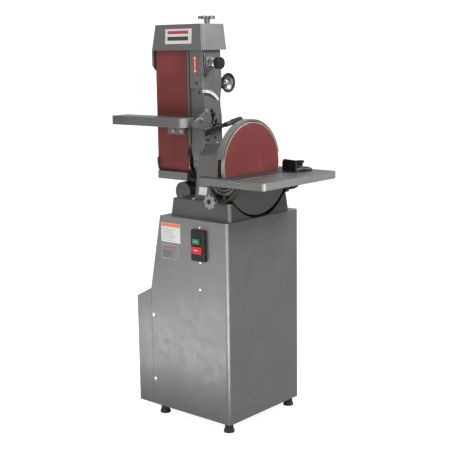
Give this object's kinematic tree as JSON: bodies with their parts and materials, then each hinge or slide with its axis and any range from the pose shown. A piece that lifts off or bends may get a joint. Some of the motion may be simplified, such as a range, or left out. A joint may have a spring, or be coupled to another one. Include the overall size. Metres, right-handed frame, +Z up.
{
  "type": "belt and disc sander",
  "caption": "Floor-standing belt and disc sander on a closed cabinet, with a tilting belt arm, two tilting tables and a miter gauge.",
  "frame": {"origin": "on the floor under the spindle, near the middle of the footprint", "axes": "+Z up; the spindle runs along X, the disc faces +X and the belt faces -Y"},
  "size_m": [0.768, 0.443, 1.463],
  "materials": {
    "painted_sheet": "metallic grey hammered enamel",
    "painted_casting": "metallic grey enamel over a cast skin",
    "dark_paint": "dark grey enamel",
    "machined_iron": "ground top, painted edge",
    "oiled_iron": "dark, oily",
    "bright_steel": "bright, turned",
    "zinc_fasteners": "zinc plated",
    "chrome_knob": "plated casting",
    "black_plastic": "black phenolic",
    "black_iron": "black enamel",
    "black_rubber": "matt",
    "abrasive": "aluminium oxide grit on cloth",
    "green_plastic": "green",
    "red_plastic": "red",
    "labels": "plain stickers and plate, no lettering"
  },
  "bodies": {
    "stand": {"stand_cabinet": "painted_sheet", "motor_cover": "painted_sheet", "rubber_feet": "black_rubber", "pan_screws": "zinc_fasteners", "hex_bolts": "zinc_fasteners", "switch_box": "black_plastic", "front_labels": "labels", "cord_gland": "black_plastic", "motor_plate": "dark_paint", "motor_body": "dark_paint", "motor_terminal_box": "dark_paint", "v_belt": "black_rubber", "machine_base": "painted_casting", "spindle_housing": "painted_casting", "spindle_bearings": "bright_steel", "pulley_guard": "painted_sheet", "disc_guard": "painted_sheet", "disc_guard_cover": "painted_sheet", "disc_guard_rim": "painted_sheet", "tilt_brackets": "dark_paint", "dust_scoop": "painted_sheet", "dust_port": "black_plastic"},
    "spindle": {"spindle_shaft": "bright_steel", "spindle_pulley": "machined_iron", "drive_drum": "machined_iron", "disc_plate": "bright_steel", "abrasive_disc": "abrasive"},
    "motor_rotor": {"motor_shaft": "bright_steel", "motor_pulley": "machined_iron"},
    "start_button": {"start_button": "green_plastic"},
    "stop_button": {"stop_button": "red_plastic"},
    "disc_table": {"disc_table": "machined_iron", "disc_table_trunnions": "oiled_iron", "tilt_scale": "black_iron"},
    "tilt_knob": {"tilt_pinion_knob": "chrome_knob"},
    "table_lock": {"table_lock_knob": "black_plastic"},
    "miter_bar": {"miter_bar": "bright_steel"},
    "miter_head": {"miter_head": "black_iron"},
    "miter_knob": {"miter_knob": "black_plastic"},
    "belt_arm": {"belt_arm": "painted_casting", "arm_front_cover": "painted_sheet", "direction_label": "red_plastic", "hood": "painted_sheet", "hood_badge": "labels", "arm_screws": "zinc_fasteners", "platen": "painted_casting", "sanding_belt": "abrasive", "tracking_bracket": "bright_steel", "angle_scale": "labels"},
    "idler_slide": {"idler_yoke": "machined_iron"},
    "idler": {"idler_drum": "machined_iron", "idler_bearings": "bright_steel"},
    "tension_knob": {"tension_knob": "black_plastic"},
    "tracking_knob": {"tracking_knob": "black_plastic"},
    "lock_wheel": {"lock_wheel": "black_plastic"},
    "lock_lever": {"lock_lever": "black_iron", "lever_grip": "black_rubber"},
    "belt_table": {"belt_table": "machined_iron", "belt_table_trunnion": "painted_casting", "table_bolts": "zinc_fasteners"}
  },
  "joints": [
    {"name": "spindle_spin", "type": "hinge", "parent": "stand", "child": "spindle", "pos_m": [0, 0, 0.94], "axis": [1, 0, 0], "continuous": true},
    {"name": "motor_spin", "type": "hinge", "parent": "stand", "child": "motor_rotor", "pos_m": [0, 0, 0.3], "axis": [1, 0, 0], "continuous": true},
    {"name": "start_press", "type": "slide", "parent": "stand", "child": "start_button", "axis": [0, 1, 0], "range_m": [0, 0.004], "stiffness_N_per_m": 900},
    {"name": "stop_press", "type": "slide", "parent": "stand", "child": "stop_button", "axis": [0, 1, 0], "range_m": [0, 0.004], "stiffness_N_per_m": 900},
    {"name": "disc_table_tilt", "type": "hinge", "parent": "stand", "child": "disc_table", "pos_m": [0.197, 0, 0.912], "axis": [0, 1, 0], "range_deg": [-20, 45]},
    {"name": "tilt_knob_turn", "type": "hinge", "parent": "stand", "child": "tilt_knob", "pos_m": [0.15886, -0.22, 0.83381], "axis": [0, 1, 0], "range_deg": [-328.5, 146.5]},
    {"name": "table_lock_turn", "type": "hinge", "parent": "stand", "child": "table_lock", "pos_m": [0.15886, 0.22, 0.83381], "axis": [0, 1, 0], "range_deg": [0, 180]},
    {"name": "miter_slide", "type": "slide", "parent": "disc_table", "child": "miter_bar", "axis": [0, 1, 0], "range_m": [-0.2, 0.06]},
    {"name": "miter_swivel", "type": "hinge", "parent": "miter_bar", "child": "miter_head", "pos_m": [0.27375, 0.148, 0.912], "axis": [0, 0, 1], "range_deg": [-45, 75]},
    {"name": "miter_knob_turn", "type": "hinge", "parent": "miter_head", "child": "miter_knob", "pos_m": [0.27375, 0.148, 0.93], "axis": [0, 0, 1], "range_deg": [0, 180]},
    {"name": "arm_tilt", "type": "hinge", "parent": "stand", "child": "belt_arm", "pos_m": [0, 0, 0.94], "axis": [-1, 0, 0], "range_deg": [0, 90]},
    {"name": "tension_slide", "type": "slide", "parent": "belt_arm", "child": "idler_slide", "axis": [0, 0, -1], "range_m": [0, 0.015]},
    {"name": "tension_turn", "type": "hinge", "parent": "belt_arm", "child": "tension_knob", "pos_m": [-0.022, -0.007, 1.44], "axis": [0, 0, 1], "range_deg": [0, 1801]},
    {"name": "idler_spin", "type": "hinge", "parent": "idler_slide", "child": "idler", "pos_m": [0, -0.018, 1.36527], "axis": [1, 0, 0], "continuous": true},
    {"name": "tracking_turn", "type": "hinge", "parent": "belt_arm", "child": "tracking_knob", "pos_m": [0.03, -0.025, 1.297], "axis": [1, 0, 0], "range_deg": [-360, 360]},
    {"name": "lock_wheel_turn", "type": "hinge", "parent": "belt_arm", "child": "lock_wheel", "pos_m": [0, 0.076, 1.224], "axis": [1, 0, 0], "range_deg": [-180, 180]},
    {"name": "belt_table_tilt", "type": "hinge", "parent": "belt_arm", "child": "belt_table", "pos_m": [0, -0.068, 1.106], "axis": [1, 0, 0], "range_deg": [-20, 45]},
    {"name": "lever_turn", "type": "hinge", "parent": "belt_arm", "child": "lock_lever", "pos_m": [0.03, -0.02, 1.071], "axis": [1, 0, 0], "range_deg": [0, 30]}
  ],
  "couplings": [
    {"joint": "motor_spin", "follows": "spindle_spin", "ratio": 1},
    {"joint": "idler_spin", "follows": "spindle_spin", "ratio": 1.3644},
    {"joint": "tilt_knob_turn", "follows": "disc_table_tilt", "ratio": -7.2857},
    {"joint": "tension_turn", "follows": "tension_slide", "rad_per_m": 2094.4}
  ]
}
